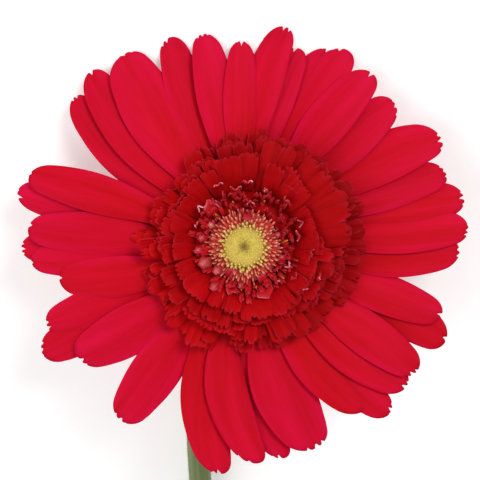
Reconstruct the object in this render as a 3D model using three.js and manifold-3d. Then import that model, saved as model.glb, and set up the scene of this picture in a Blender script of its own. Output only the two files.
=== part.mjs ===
// A cut red gerbera with a semi-double head, lying on a surface. It leans on the tips of two of its ray
// florets and on the cut end of its stem, so its face looks up and forward. Millimetres, +Z up, with
// the origin under the middle of the flower. The head faces -Y and the stem runs back along +Y.
import * as THREE from "three";
import { mergeVertices } from "three/addons/utils/BufferGeometryUtils.js";
import Module from "manifold-3d";

const wasm = await Module();
wasm.setup();

// ---------------------------------------------------------------- driving dimensions
const HEAD_TILT = 28; // degrees between the face's axis and the vertical
const HEAD_HEIGHT = 23.4; // centre of the ray whorl above the surface
const FACE_GAP = 0.3; // clearance between neighbouring nodes
const BLADE_THICKNESS = 0.7;
const TWIN_GAP = 0.01; // how far corners that only touch are drawn apart
const ROUND_SIDES = 24; // facets round the head's turned pieces
const GOLDEN_ANGLE = 137.508;

const RECEPTACLE_RADIUS = 12.3; // rim that carries the ray florets
const INVOLUCRE_DEPTH = 13; // from that rim back to the top of the stem
const INVOLUCRE_TOP = -1.6;
const INVOLUCRE_SIDES = 16;

// Ray florets: azimuth at the root and tip radius, width, sideways sweep of the tip in degrees, and
// how far the blade is lifted over its neighbours. Azimuths run anticlockwise from the face's right.
// The flower rests on two of them, each with the middle of its tip, and the others stay clear.
const RAY_ROOT_RADIUS = 9;
const RAY_FLORETS = [
  { azimuth: 354.4, reach: 53, width: 10.5, sweep: 4.2, lift: 0.2 },
  { azimuth: 6, reach: 55.3, width: 10.8, sweep: -1, lift: 0.6 },
  { azimuth: 17.5, reach: 55.5, width: 11, sweep: -5, lift: 0 },
  { azimuth: 24.2, reach: 52.8, width: 10.4, sweep: -4, lift: 0.5 },
  { azimuth: 36.9, reach: 55.3, width: 12.8, sweep: -7.2, lift: 0.6 },
  { azimuth: 46.7, reach: 51.2, width: 11, sweep: -2.6, lift: 0.9 },
  { azimuth: 59, reach: 52.9, width: 11, sweep: -5, lift: 1.8 },
  { azimuth: 69, reach: 54.6, width: 11.2, sweep: -6.4, lift: 0.1 },
  { azimuth: 75, reach: 52.8, width: 9.6, sweep: -7.8, lift: -0.4, rests: true },
  { azimuth: 82.2, reach: 50.6, width: 9.6, sweep: -7.5, lift: 0.3 },
  { azimuth: 89.2, reach: 54.8, width: 10, sweep: -10, lift: 0.9 },
  { azimuth: 92.6, reach: 50.4, width: 8.5, sweep: -2.2, lift: 1.9 },
  { azimuth: 100.4, reach: 53.1, width: 9.8, sweep: 0, lift: 1.5 },
  { azimuth: 112.2, reach: 54.5, width: 9.8, sweep: -2.9, lift: 0.1, rests: true },
  { azimuth: 125.2, reach: 55.8, width: 15, sweep: -2.4, lift: 0.8 },
  { azimuth: 139, reach: 57.4, width: 11, sweep: -7.5, lift: 0.2 },
  { azimuth: 148, reach: 55.8, width: 9.8, sweep: -9.1, lift: -0.6 },
  { azimuth: 158.4, reach: 55.6, width: 9.8, sweep: 3.2, lift: 1 },
  { azimuth: 166.4, reach: 57.4, width: 9.8, sweep: 0, lift: -0.6 },
  { azimuth: 175, reach: 53.2, width: 10.5, sweep: 0, lift: 0.7 },
  { azimuth: 180, reach: 54.9, width: 9.6, sweep: 0, lift: -0.8 },
  { azimuth: 185.2, reach: 52.4, width: 9.4, sweep: -2, lift: 0.3 },
  { azimuth: 196.4, reach: 46, width: 10.4, sweep: -6.7, lift: 1.3 },
  { azimuth: 203, reach: 52.2, width: 11, sweep: -1, lift: 0.2 },
  { azimuth: 208.2, reach: 56.2, width: 11.2, sweep: -0.5, lift: -0.7 },
  { azimuth: 218.7, reach: 48.9, width: 12.4, sweep: -5.3, lift: 1 },
  { azimuth: 234.6, reach: 52.4, width: 12.2, sweep: 0, lift: 0 },
  { azimuth: 247.6, reach: 56.2, width: 12.2, sweep: 15.8, lift: -0.1 },
  { azimuth: 254.6, reach: 53.2, width: 11, sweep: 18.6, lift: 1 },
  { azimuth: 267, reach: 53, width: 9.5, sweep: 13.5, lift: -0.7 },
  { azimuth: 281.3, reach: 52.6, width: 15, sweep: 7.8, lift: 0.4 },
  { azimuth: 297.5, reach: 49.8, width: 11, sweep: 8.4, lift: 1.1 },
  { azimuth: 303.8, reach: 54.4, width: 10.2, sweep: 7.4, lift: 0.3 },
  { azimuth: 312, reach: 52.6, width: 10.8, sweep: 7, lift: 1.2 },
  { azimuth: 325, reach: 52.2, width: 10.6, sweep: -0.6, lift: 1.6 },
  { azimuth: 340.6, reach: 54.8, width: 11.5, sweep: -5.8, lift: -0.4 },
  { azimuth: 342.6, reach: 51.4, width: 9.8, sweep: -2, lift: 0.6 },
];
const RAY_RISE = 0.17; // slope at the root
const RAY_TIP_FALL = 1.0; // how far the tip ends below the root's level
const RAY_ROLL = 8; // degrees that a blade leans over its neighbour
const RAY_CAMBER = 0.55; // how far the long edges turn down
const RAY_CLAW = 0.3; // width at the root as a share of the greatest
const RAY_WIDEST_AT = 0.74; // share of the length at which a blade is widest
const RAY_SWELL = 2.4; // power that keeps a blade narrow near its claw
const RAY_TIP_NARROWING = 0.22;
const RAY_TIP_ROUND = 0.12; // how far the tip's corners are drawn back, as a share of the length
const RAY_TEETH = { depth: 1.1, place: 0.3, width: 0.1 };
const RAY_ROWS = [0.34, 0.7]; // where a blade has its cross rows between root and tip
const RAY_TIP_COLUMNS = [-1, -0.66, -0.3, 0, 0.3, 0.66, 1];
const RAY_CORE = { low: -1.3, high: 1.4, chamfer: 0.7 };
const SURFACE_CLEARANCE = 0.35; // between the supporting surface and the blades that don't rest on it
// Blades between these azimuths lean the other way, and those on the left side not at all.
const ROLL_TURNS_AT = 92;
const ROLL_STOPS_AT = 150;
const ROLL_STARTS_AT = 198;

// Trans florets: the ruff of short florets, in tiers from the lowest and widest to the innermost.
// Each tier runs from its root over a knee to its tip, given as [radius, height].
const RUFF_TIERS = [
  { count: 24, width: 5.6, root: [11.6, 4.2], knee: [20, 6.2], tip: [28.2, 6.4] },
  { count: 22, width: 5.4, root: [11, 4.9], knee: [18, 8.6], tip: [25.6, 9.2] },
  { count: 18, width: 5.4, root: [10, 5.4], knee: [15.5, 11.0], tip: [22.8, 12.2] },
  { count: 15, width: 4.9, root: [9.2, 5.8], knee: [12.6, 12.2], tip: [18.8, 14.4] },
  { count: 12, width: 3.8, root: [9.4, 5.8], knee: [11.2, 11.0], tip: [14.2, 13.0] },
];
const RUFF_STAGGER = 0.45; // every other floret of a tier stands higher by twice this
const RUFF_SIDE_REACH = 0.06; // the ruff reaches further on the face's right than on its left
const RUFF_CLAW = 0.4; // width at the root as a share of the greatest
const RUFF_WIDEST_AT = 0.8;
const RUFF_NOTCH = { depth: 0.05, width: 0.3 };
const RUFF_CORNER = 0.1; // how far the tip's corners are drawn back, as a share of the length
const RUFF_CAMBER = 0.5; // how far the edges turn down at the tip
const RUFF_CORE = { low: 1.7, step: 3.6, high: 7.0, lowRadius: 11.4, stepRadius: 14, highRadius: 10 };

// Disc: unopened florets round a dense yellow centre.
const DISC_CORE_RADIUS = 8.8;
const DISC_CORE_LOW = 7.3;
const DISC_CORE_HIGH = 9.0;
const DISC_CORE_WALL = 0.8;
const SEAT_DEPTH = 0.2; // how far the yellow centre is let into the disc
const BUD_LEAN = 28;
const BUD_STRETCH = 1.7;
const BUD_RINGS = [
  { count: 18, radius: 6.1, size: 0.7 },
  { count: 20, radius: 7.1, size: 0.8 },
  { count: 18, radius: 8.1, size: 0.95 },
];
const CENTRE_RADIUS = 5.2;
const CENTRE_DIMPLE_RADIUS = 0.9;
const CENTRE_DOME = 1.3; // height of the dome at its highest ring
const CENTRE_GRAINS = 34;
const GRAIN = { size: 0.55, stretch: 1.3, sink: 0.05 };

// Involucre: rows of green bracts on the receptacle, from the lowest up.
const BRACT_ROWS = [
  { count: 8, length: 6.5, width: 3.6, start: -11.2, stand: 0.6 },
  { count: 10, length: 8.0, width: 4.0, start: -9.0, stand: 0.9 },
  { count: 12, length: 9.0, width: 4.2, start: -6.9, stand: 1.1 },
];

// Stem: points on its middle line after the neck, [x, y, z] from the foot of the head's centre.
const STEM_ROUTE = [
  [3.4, 23, 4.3],
  [8.2, 38, 4.6],
  [11.9, 57, 5.2],
  [12.0, 72, 5.6],
  [10.6, 92, 6.0],
  [6.6, 125, 6.2],
  [2.4, 165, 6.0],
  [0.4, 205, 5.4],
  [1.6, 245, 4.6],
  [5.6, 285, 3.9],
  [9.6, 314, 3.45],
];
const STEM_RADII = { top: 4.3, neck: 3.0, middle: 3.0, cut: 3.45 };
const NECK_LENGTH = 14;
const STEM_SIDES = 10;
const STEM_STEPS = 36;
const CUT_ANGLE = 42; // degrees that the cut is turned from square
const CUT_STEP = 3.2; // from the cut's middle to the end of the route
const KNIFE_SIZE = 40;

const COLOURS = {
  ray: 0xc8102e,
  ruff: 0xa50d14,
  bud: 0xc8685a,
  centre: 0xcbb84a,
  bract: 0x5f7f45,
  stem: 0x6f8f56,
};
const SEED = 20240620;

// ---------------------------------------------------------------- small tools
const rad = THREE.MathUtils.degToRad;
const smooth = (x) => THREE.MathUtils.smoothstep(x, 0, 1);

function randomSource(seed) {
  let state = seed >>> 0;
  return (low, high) => {
    state = (Math.imul(state, 1664525) + 1013904223) >>> 0;
    return low + ((high - low) * state) / 4294967296;
  };
}

// The head's frame: x to the face's right, y to its top and z out of the face.
function headMatrix() {
  const tilt = rad(HEAD_TILT);
  const right = new THREE.Vector3(-1, 0, 0);
  const up = new THREE.Vector3(0, -Math.cos(tilt), -Math.sin(tilt));
  const out = new THREE.Vector3(0, -Math.sin(tilt), Math.cos(tilt));
  return new THREE.Matrix4().makeBasis(right, up, out).setPosition(0, 0, HEAD_HEIGHT);
}

// The height in the head's frame at which the supporting surface lies under a point with this y.
function surfaceUnder(y) {
  const tilt = rad(HEAD_TILT);
  return (y * Math.sin(tilt) - HEAD_HEIGHT) / Math.cos(tilt);
}

// Keeps a height above a floor, with a soft turn where it comes near.
function softFloor(height, floor) {
  const softness = 0.5;
  return floor + softness * Math.log1p(Math.exp((height - floor) / softness));
}

function solidOf(positions, triangles) {
  const mesh = new wasm.Mesh({
    numProp: 3,
    vertProperties: new Float32Array(positions),
    triVerts: new Uint32Array(triangles),
  });
  return new wasm.Manifold(mesh);
}

function solidOfGeometry(geometry) {
  geometry.deleteAttribute("normal");
  geometry.deleteAttribute("uv");
  const merged = mergeVertices(geometry, 1e-4);
  return solidOf(merged.getAttribute("position").array, merged.getIndex().array);
}

// Where a joined surface touches itself in a point, draws each of the twin corners a hair back
// towards the triangles that it belongs to.
function partTwins(points, triangles) {
  const byPlace = new Map();
  points.forEach((point, i) => {
    const place = point.toArray().join();
    byPlace.set(place, [...(byPlace.get(place) ?? []), i]);
  });
  for (const twins of byPlace.values()) {
    if (twins.length === 1) continue;
    for (const twin of twins) {
      const middle = new THREE.Vector3();
      for (let i = 0; i < triangles.length; i += 3) {
        const corners = triangles.subarray(i, i + 3);
        if (corners.includes(twin)) corners.forEach((corner) => middle.add(points[corner]).sub(points[twin]));
      }
      points[twin].add(middle.setLength(TWIN_GAP));
    }
  }
}

function geometryOf(solid) {
  const { numProp, numVert, vertProperties, triVerts } = solid.getMesh();
  const points = Array.from({ length: numVert }, (_, i) =>
    new THREE.Vector3().fromArray(vertProperties, i * numProp),
  );
  partTwins(points, triVerts);
  const positions = new Float32Array(points.flatMap((point) => point.toArray()));
  const geometry = new THREE.BufferGeometry();
  geometry.setAttribute("position", new THREE.BufferAttribute(positions, 3));
  geometry.setIndex(new THREE.BufferAttribute(triVerts, 1));
  geometry.computeVertexNormals();
  return geometry;
}

// Joins solids into one body, and fills any hollow that the joining seals.
function joined(solids) {
  const bodies = solids.reduce((all, one) => all.add(one)).decompose();
  return bodies.reduce((largest, body) => (body.volume() > largest.volume() ? body : largest));
}

function meshOf(name, solid, colour, roughness) {
  const material = new THREE.MeshStandardMaterial({ color: colour, roughness, metalness: 0 });
  const mesh = new THREE.Mesh(geometryOf(solid), material);
  mesh.name = name;
  return mesh;
}

// A solid of revolution round the head's axis, from [radius, height] points going up on the outside.
function turned(points, sides) {
  const profile = points.map(([radius, height]) => new THREE.Vector2(radius, height));
  return solidOfGeometry(new THREE.LatheGeometry(profile, sides).rotateX(Math.PI / 2));
}

// A closed thin blade over a middle surface: s runs from root to tip, and c from edge -1 to edge 1.
// Each row is [s, its values of c]. Both faces are split into triangles alike.
function blade(middle, rows) {
  const step = 1e-3;
  const upper = [];
  const lower = [];
  for (const [s, across] of rows) {
    for (const c of across) {
      const along = middle(Math.min(1, s + step), c).sub(middle(Math.max(0, s - step), c));
      const sideways = middle(s, Math.min(1, c + step)).sub(middle(s, Math.max(-1, c - step)));
      const offset = along.cross(sideways).setLength(BLADE_THICKNESS / 2);
      const centre = middle(s, c);
      upper.push(...centre.clone().add(offset).toArray());
      lower.push(...centre.sub(offset).toArray());
    }
  }
  const count = upper.length / 3;
  const triangles = [];
  const bothFaces = (a, b, c) => triangles.push(a, b, c, a + count, c + count, b + count);
  const wall = (a, b) => triangles.push(a, b, b + count, a, b + count, a + count);
  let start = 0;
  for (let i = 0; i + 1 < rows.length; i++) {
    const [near, far] = [rows[i][1], rows[i + 1][1]];
    const next = start + near.length;
    let j = 0;
    let k = 0;
    while (j + 1 < near.length || k + 1 < far.length) {
      const nearGoesOn = k + 1 === far.length || near[j + 1] < far[k + 1];
      bothFaces(start + j, next + k, nearGoesOn ? start + j + 1 : next + k + 1);
      if (nearGoesOn) j += 1;
      else k += 1;
    }
    wall(next, start);
    wall(next - 1, next + far.length - 1);
    start = next;
  }
  const rootColumns = rows[0][1].length;
  for (let j = 0; j + 1 < rootColumns; j++) wall(j, j + 1);
  for (let j = start; j + 1 < count; j++) wall(j + 1, j);
  return solidOf([...upper, ...lower], triangles);
}

// ---------------------------------------------------------------- ray florets
// Half width along a ray floret as a share of its greatest: a narrow claw, then a strap.
function rayShape(s) {
  if (s > RAY_WIDEST_AT) return 1 - RAY_TIP_NARROWING * ((s - RAY_WIDEST_AT) / (1 - RAY_WIDEST_AT)) ** 2;
  return RAY_CLAW + (1 - RAY_CLAW) * Math.sin((Math.PI / 2) * (s / RAY_WIDEST_AT)) ** RAY_SWELL;
}

function rayRoll(azimuth) {
  if (azimuth > ROLL_TURNS_AT && azimuth < ROLL_STOPS_AT) return RAY_ROLL;
  if (azimuth >= ROLL_STOPS_AT && azimuth < ROLL_STARTS_AT) return 0;
  return -RAY_ROLL;
}

function rayFloret({ azimuth, reach, width, sweep, lift, rests }, random) {
  const length = reach - RAY_ROOT_RADIUS;
  const fall = (RAY_RISE * length + RAY_TIP_FALL) / (length * length);
  const lean = Math.tan(rad(rayRoll(azimuth) + random(-1.5, 1.5)));
  const middle = (s, c) => {
    const roundTip = RAY_TIP_ROUND * length * (1 - Math.sqrt(1 - 0.999 * c * c));
    const teeth = RAY_TEETH.depth * Math.exp(-(((Math.abs(c) - RAY_TEETH.place) / RAY_TEETH.width) ** 2));
    const x = (length - roundTip - teeth) * s;
    const half = (width / 2) * rayShape(s);
    const angle = rad(azimuth + sweep * (x / length) ** 1.5);
    const radius = RAY_ROOT_RADIUS + x;
    const u = radius * Math.cos(angle) - c * half * Math.sin(angle);
    const v = radius * Math.sin(angle) + c * half * Math.cos(angle);
    const free = 0.35 + 0.65 * smooth(x / (0.35 * length));
    const arch = RAY_RISE * x - fall * x * x;
    const height = arch + free * (lift + c * half * lean - RAY_CAMBER * c * c);
    const clearance = SURFACE_CLEARANCE * (rests ? Math.abs(c) : 1);
    return new THREE.Vector3(u, v, softFloor(height, surfaceUnder(v) + clearance + BLADE_THICKNESS / 2));
  };
  const ridged = [0, ...RAY_ROWS].map((s) => [s, [-1, 0, 1]]);
  return blade(middle, [...ridged, [1, RAY_TIP_COLUMNS]]);
}

function rayFlorets() {
  const { low, high, chamfer } = RAY_CORE;
  const [rim, inside] = [RECEPTACLE_RADIUS, RECEPTACLE_RADIUS - chamfer];
  const core = turned([[0, low], [inside, low], [rim, 0], [inside, high], [0, high]], ROUND_SIDES);
  const random = randomSource(SEED);
  return joined([core, ...RAY_FLORETS.map((floret) => rayFloret(floret, random))]);
}

// ---------------------------------------------------------------- trans florets
function transFloret(tier, azimuth, stagger, random) {
  const angle = rad(azimuth);
  const stretch = random(0.95, 1.05) * (1 + RUFF_SIDE_REACH * Math.cos(angle));
  const half = (tier.width / 2) * random(0.9, 1.1);
  const raise = stagger + random(-0.1, 0.1);
  const path = new THREE.QuadraticBezierCurve(
    new THREE.Vector2(...tier.root),
    new THREE.Vector2(tier.knee[0], tier.knee[1] + raise),
    new THREE.Vector2(tier.tip[0] * stretch, tier.tip[1] + raise),
  );
  const middle = (s, c) => {
    const notch = RUFF_NOTCH.depth * Math.exp(-((c / RUFF_NOTCH.width) ** 2));
    const point = path.getPoint(s * (1 - notch - RUFF_CORNER * Math.abs(c) ** 3));
    const widening = Math.sin((Math.PI / 2) * Math.min(1, s / RUFF_WIDEST_AT));
    const side = c * half * (RUFF_CLAW + (1 - RUFF_CLAW) * widening);
    return new THREE.Vector3(
      point.x * Math.cos(angle) - side * Math.sin(angle),
      point.x * Math.sin(angle) + side * Math.cos(angle),
      point.y - RUFF_CAMBER * c * c * s,
    );
  };
  return blade(middle, [[0, [-1, 1]], [0.55, [-1, 0, 1]], [1, [-1, -0.5, 0, 0.5, 1]]]);
}

function transFlorets() {
  const random = randomSource(SEED + 1);
  const { low, step, high, lowRadius, stepRadius, highRadius } = RUFF_CORE;
  const profile = [[0, low], [lowRadius, low], [stepRadius, step], [highRadius, high], [0, high]];
  const core = turned(profile, ROUND_SIDES);
  const blades = RUFF_TIERS.flatMap((tier, row) => {
    const spacing = 360 / tier.count;
    return Array.from({ length: tier.count }, (_, i) => {
      const azimuth = (i + 0.5 * (row % 2) + random(-0.12, 0.12)) * spacing;
      return transFloret(tier, azimuth, RUFF_STAGGER * (i % 2 ? 1 : -1), random);
    });
  });
  return joined([core, ...blades]);
}

// ---------------------------------------------------------------- disc
function bud(radius, azimuth, height, size) {
  const shape = new THREE.OctahedronGeometry(size).scale(1, 1, BUD_STRETCH);
  shape.rotateY(rad(BUD_LEAN)).translate(radius, 0, height).rotateZ(rad(azimuth));
  return solidOfGeometry(shape);
}

function discFlorets() {
  const random = randomSource(SEED + 2);
  const [edge, low, high] = [DISC_CORE_RADIUS, DISC_CORE_LOW, DISC_CORE_HIGH];
  const profile = [[0, low], [edge, low], [edge, low + DISC_CORE_WALL], [CENTRE_RADIUS, high], [0, high]];
  const core = turned(profile, ROUND_SIDES);
  const buds = BUD_RINGS.flatMap(({ count, radius, size }, ring) =>
    Array.from({ length: count }, (_, i) => {
      const azimuth = ((i + 0.5 * ring) * 360) / count + random(-4, 4);
      return bud(radius, azimuth, high + 0.25 * ring + random(0, 0.3), size * random(0.9, 1.1));
    }),
  );
  // The core has a seat for the yellow centre, so that the two lie clear of each other.
  const seatRadius = CENTRE_RADIUS + FACE_GAP;
  const [floor, above] = [high - SEAT_DEPTH, high + 5];
  const seat = turned([[0, floor], [seatRadius, floor], [seatRadius, above], [0, above]], ROUND_SIDES);
  return joined([core, ...buds]).subtract(seat);
}

// A low dome with a dimple, and grains on it that spiral out by the golden angle.
function discCentre() {
  const base = DISC_CORE_HIGH - SEAT_DEPTH + FACE_GAP;
  const edge = CENTRE_RADIUS;
  const top = base + CENTRE_DOME;
  const dome = [[0, base], [edge - 0.5, base], [edge, base + 0.5], [edge * 0.75, top - 0.2],
    [edge * 0.4, top], [CENTRE_DIMPLE_RADIUS, top - 0.2], [0, top - 0.6]];
  const grains = Array.from({ length: CENTRE_GRAINS }, (_, i) => {
    const share = Math.sqrt((i + 4) / (CENTRE_GRAINS + 4));
    const shape = new THREE.OctahedronGeometry(GRAIN.size).scale(1, 1, GRAIN.stretch);
    shape.translate(edge * 0.92 * share, 0, top - GRAIN.sink - 0.6 * share ** 4);
    return solidOfGeometry(shape.rotateZ(rad(i * GOLDEN_ANGLE)));
  });
  return joined([turned(dome, ROUND_SIDES), ...grains]);
}

// ---------------------------------------------------------------- involucre
// The receptacle's outside as a radius at a height.
function receptacleRadius(height) {
  const share = THREE.MathUtils.clamp((height + INVOLUCRE_DEPTH) / (INVOLUCRE_DEPTH + INVOLUCRE_TOP), 0, 1);
  const widening = RECEPTACLE_RADIUS - 0.5 - STEM_RADII.top;
  return STEM_RADII.top + widening * Math.sin((share * Math.PI) / 2) ** 0.8;
}

function bract({ length, width, start, stand }, azimuth) {
  const angle = rad(azimuth);
  const middle = (s, c) => {
    const height = start + length * s * 0.86;
    const radius = receptacleRadius(height) - 0.3 + stand * s * s + 0.3 * s;
    const side = c * ((width / 2) * (1 - s) ** 0.6 * (0.85 + 0.6 * s) + 0.15);
    return new THREE.Vector3(
      radius * Math.cos(angle) - side * Math.sin(angle),
      radius * Math.sin(angle) + side * Math.cos(angle),
      Math.min(height, INVOLUCRE_TOP - FACE_GAP - 0.2 * s),
    );
  };
  return blade(middle, [[0, [-1, 1]], [0.5, [-1, 0, 1]], [1, [-1, 1]]]);
}

function involucre() {
  const heights = [-INVOLUCRE_DEPTH, -10.6, -7.6, INVOLUCRE_TOP];
  const outside = heights.map((height) => [receptacleRadius(height), height]);
  const core = turned([[0, -INVOLUCRE_DEPTH], ...outside, [0, INVOLUCRE_TOP]], INVOLUCRE_SIDES);
  const bracts = BRACT_ROWS.flatMap((row, r) =>
    Array.from({ length: row.count }, (_, i) => bract(row, ((i + 0.5 * (r % 2)) * 360) / row.count)),
  );
  return joined([core, ...bracts]);
}

// ---------------------------------------------------------------- stem
function stemCurve() {
  const matrix = headMatrix();
  const onAxis = (height) => new THREE.Vector3(0, 0, height).applyMatrix4(matrix);
  const start = onAxis(-INVOLUCRE_DEPTH - FACE_GAP);
  const straight = onAxis(-INVOLUCRE_DEPTH - 3.5);
  const route = STEM_ROUTE.map((point) => new THREE.Vector3(...point));
  return new THREE.CatmullRomCurve3([start, straight, ...route], false, "centripetal");
}

function stemRadius(distance, length) {
  const { top, neck, middle, cut } = STEM_RADII;
  if (distance < NECK_LENGTH) return neck + (top - neck) * (1 - distance / NECK_LENGTH) ** 2;
  const share = (distance - NECK_LENGTH) / (length - NECK_LENGTH);
  return share < 0.5 ? neck + (middle - neck) * share * 2 : middle + (cut - middle) * (share - 0.5) * 2;
}

function stem() {
  const curve = stemCurve();
  const length = curve.getLength();
  const { tangents, normals, binormals } = curve.computeFrenetFrames(STEM_STEPS, false);
  const positions = [];
  const triangles = [];
  for (let i = 0; i <= STEM_STEPS; i++) {
    const centre = curve.getPointAt(i / STEM_STEPS);
    const radius = stemRadius((i / STEM_STEPS) * length, length);
    for (let k = 0; k < STEM_SIDES; k++) {
      const turn = (2 * Math.PI * k) / STEM_SIDES;
      const point = centre.clone()
        .addScaledVector(normals[i], radius * Math.cos(turn))
        .addScaledVector(binormals[i], radius * Math.sin(turn));
      positions.push(...point.toArray());
      const next = (k + 1) % STEM_SIDES;
      const [a, b] = [i * STEM_SIDES + k, i * STEM_SIDES + next];
      if (i < STEM_STEPS) triangles.push(a, b, b + STEM_SIDES, a, b + STEM_SIDES, a + STEM_SIDES);
    }
  }
  for (let k = 1; k < STEM_SIDES - 1; k++) {
    const end = STEM_STEPS * STEM_SIDES;
    triangles.push(0, k + 1, k);
    triangles.push(end, end + k, end + k + 1);
  }
  const tube = solidOf(positions, triangles);
  // The cut slants across the stem, so that its face looks back and up.
  const tip = curve.getPointAt(1);
  const knife = new THREE.BoxGeometry(KNIFE_SIZE, KNIFE_SIZE, KNIFE_SIZE);
  knife.translate(0, KNIFE_SIZE / 2, 0);
  knife.rotateX(rad(CUT_ANGLE)).rotateZ(Math.atan2(-tangents[STEM_STEPS].x, tangents[STEM_STEPS].y));
  knife.translate(tip.x, tip.y - CUT_STEP, tip.z);
  return tube.subtract(solidOfGeometry(knife));
}

// ---------------------------------------------------------------- the flower
const head = new THREE.Group();
head.applyMatrix4(headMatrix());
head.add(
  meshOf("ray_florets", rayFlorets(), COLOURS.ray, 0.55),
  meshOf("trans_florets", transFlorets(), COLOURS.ruff, 0.6),
  meshOf("disc_florets", discFlorets(), COLOURS.bud, 0.5),
  meshOf("disc_centre", discCentre(), COLOURS.centre, 0.7),
  meshOf("involucre", involucre(), COLOURS.bract, 0.7),
);

const flower = new THREE.Group();
flower.add(head, meshOf("stem", stem(), COLOURS.stem, 0.6));

// The origin goes under the middle of the flower, on the surface.
const box = new THREE.Box3().setFromObject(flower, true);
const middle = box.getCenter(new THREE.Vector3());
const gerbera = new THREE.Group();
gerbera.add(flower);
flower.position.set(-middle.x, -middle.y, -box.min.z);

export default gerbera;
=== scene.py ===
"""A cut red gerbera lying on a pale floor, seen square on to its face.

Lengths are millimetres in the flower's own formulas and metres in the scene. The head's frame has x to
the face's right, y to its top and z out of the face, with its origin in the middle of the ray whorl.
"""

import math
import random

import bpy
import numpy as np
from mathutils import Matrix, Vector


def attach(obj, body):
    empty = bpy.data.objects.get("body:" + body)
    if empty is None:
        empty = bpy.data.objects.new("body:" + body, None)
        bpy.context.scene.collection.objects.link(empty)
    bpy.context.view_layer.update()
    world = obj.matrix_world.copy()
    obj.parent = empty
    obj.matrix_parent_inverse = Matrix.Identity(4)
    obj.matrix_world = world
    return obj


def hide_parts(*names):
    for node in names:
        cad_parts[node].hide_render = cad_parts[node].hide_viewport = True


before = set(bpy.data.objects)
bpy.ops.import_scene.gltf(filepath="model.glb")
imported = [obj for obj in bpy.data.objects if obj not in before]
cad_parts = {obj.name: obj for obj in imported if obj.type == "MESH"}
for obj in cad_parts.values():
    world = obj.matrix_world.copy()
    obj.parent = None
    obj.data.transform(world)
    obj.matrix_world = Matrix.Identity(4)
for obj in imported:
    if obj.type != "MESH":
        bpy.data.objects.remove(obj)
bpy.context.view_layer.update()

MM = 0.001
SEED = 20240611

# ------ the head's place, as in the solids
HEAD_TILT = math.radians(28)
HEAD_CENTRE = Vector((-0.3498, -132.5591, 23.4343))
RIGHT = Vector((-1, 0, 0))
UP = Vector((0, -math.cos(HEAD_TILT), -math.sin(HEAD_TILT)))
OUT = Vector((0, -math.sin(HEAD_TILT), math.cos(HEAD_TILT)))
TO_WORLD = np.array([RIGHT, UP, OUT])

# ------ ray florets
# Azimuth at the root, tip radius, width, sideways sweep of the tip in degrees, and lift of the blade.
RAY_ROOT_RADIUS = 9
RAY_FLORETS = [
    (354.4, 53, 10.5, 4.2, 0.2),
    (6, 55.3, 10.8, -1, 0.6),
    (17.5, 55.5, 11, -5, 0),
    (24.2, 52.8, 10.4, -4, 0.5),
    (36.9, 55.3, 12.8, -7.2, 0.6),
    (46.7, 51.2, 11, -2.6, 0.9),
    (59, 52.9, 11, -5, 1.8),
    (69, 54.6, 11.2, -6.4, 0.1),
    (75, 52.8, 9.6, -7.8, -0.4),
    (82.2, 50.6, 9.6, -7.5, 0.3),
    (89.2, 54.8, 10, -10, 0.9),
    (92.6, 50.4, 8.5, -2.2, 1.9),
    (100.4, 53.1, 9.8, 0, 1.5),
    (112.2, 54.5, 9.8, -2.9, 0.1),
    (125.2, 55.8, 15, -2.4, 0.8),
    (139, 57.4, 11, -7.5, 0.2),
    (148, 55.8, 9.8, -9.1, -0.6),
    (158.4, 55.6, 9.8, 3.2, 1),
    (166.4, 57.4, 9.8, 0, -0.6),
    (175, 53.2, 10.5, 0, 0.7),
    (180, 54.9, 9.6, 0, -0.8),
    (185.2, 52.4, 9.4, -2, 0.3),
    (196.4, 46, 10.4, -6.7, 1.3),
    (203, 52.2, 11, -1, 0.2),
    (208.2, 56.2, 11.2, -0.5, -0.7),
    (218.7, 48.9, 12.4, -5.3, 1),
    (234.6, 52.4, 12.2, 0, 0),
    (247.6, 56.2, 12.2, 15.8, -0.1),
    (254.6, 53.2, 11, 18.6, 1),
    (267, 53, 9.5, 13.5, -0.7),
    (281.3, 52.6, 15, 7.8, 0.4),
    (297.5, 49.8, 11, 8.4, 1.1),
    (303.8, 54.4, 10.2, 7.4, 0.3),
    (312, 52.6, 10.8, 7, 1.2),
    (325, 52.2, 10.6, -0.6, 1.6),
    (340.6, 54.8, 11.5, -5.8, -0.4),
    (342.6, 51.4, 9.8, -2, 0.6),
]
RAY_THICKNESS = (0.42, 0.12)  # in the middle and at the edges
RAY_RISE = 0.17  # slope at the root
RAY_TIP_FALL = 1.0  # how far the tip ends below the root's level
RAY_CAMBER = 0.55  # how far the long edges turn down
RAY_LIFT = 1.5  # height of one step of a blade's lift
RAY_LIFT_AT_ROOT = 0.35  # share of the lift that the root has
RAY_LIFT_FULL_AT = 0.35  # share of the length from which the lift is full
RAY_CLAW = (0.24, 0.36)  # width at the root as a share of the greatest
RAY_SWELL = 2.4  # power that keeps a blade narrow near its claw
RAY_WIDEST_AT = 0.74  # share of the length at which a blade is widest
RAY_TIP_NARROWING = 0.22
RAY_TIP_ROUND = 0.12  # how far the tip's corners are drawn back, as a share of the length
RAY_TIP_SLANT = 0.7  # how far one corner may stand before the other
# Width and depth of the notches in a tip. A depth below zero leaves the notch out.
RAY_NOTCH = (0.07, (0.4, 1.4))
RAY_SIDE_NOTCH = (0.05, (-0.4, 0.9))
RAY_RIBS = 5
RAY_RIB_HEIGHT = 0.02
RAY_WAVES = 1.1  # along a blade
RAY_WAVE_HEIGHT = (0.08, 0.24)
# Place across a blade, width and height of its two lengthwise folds.
RAY_FOLD = ((-0.6, 0.6), (0.14, 0.3), (-0.14, 0.04))
RESTING_RAYS = (75, 112.2)  # azimuths of the two whose tips touch the surface
SURFACE_CLEARANCE = 0.35  # between the surface and the blades that don't rest on it
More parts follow.
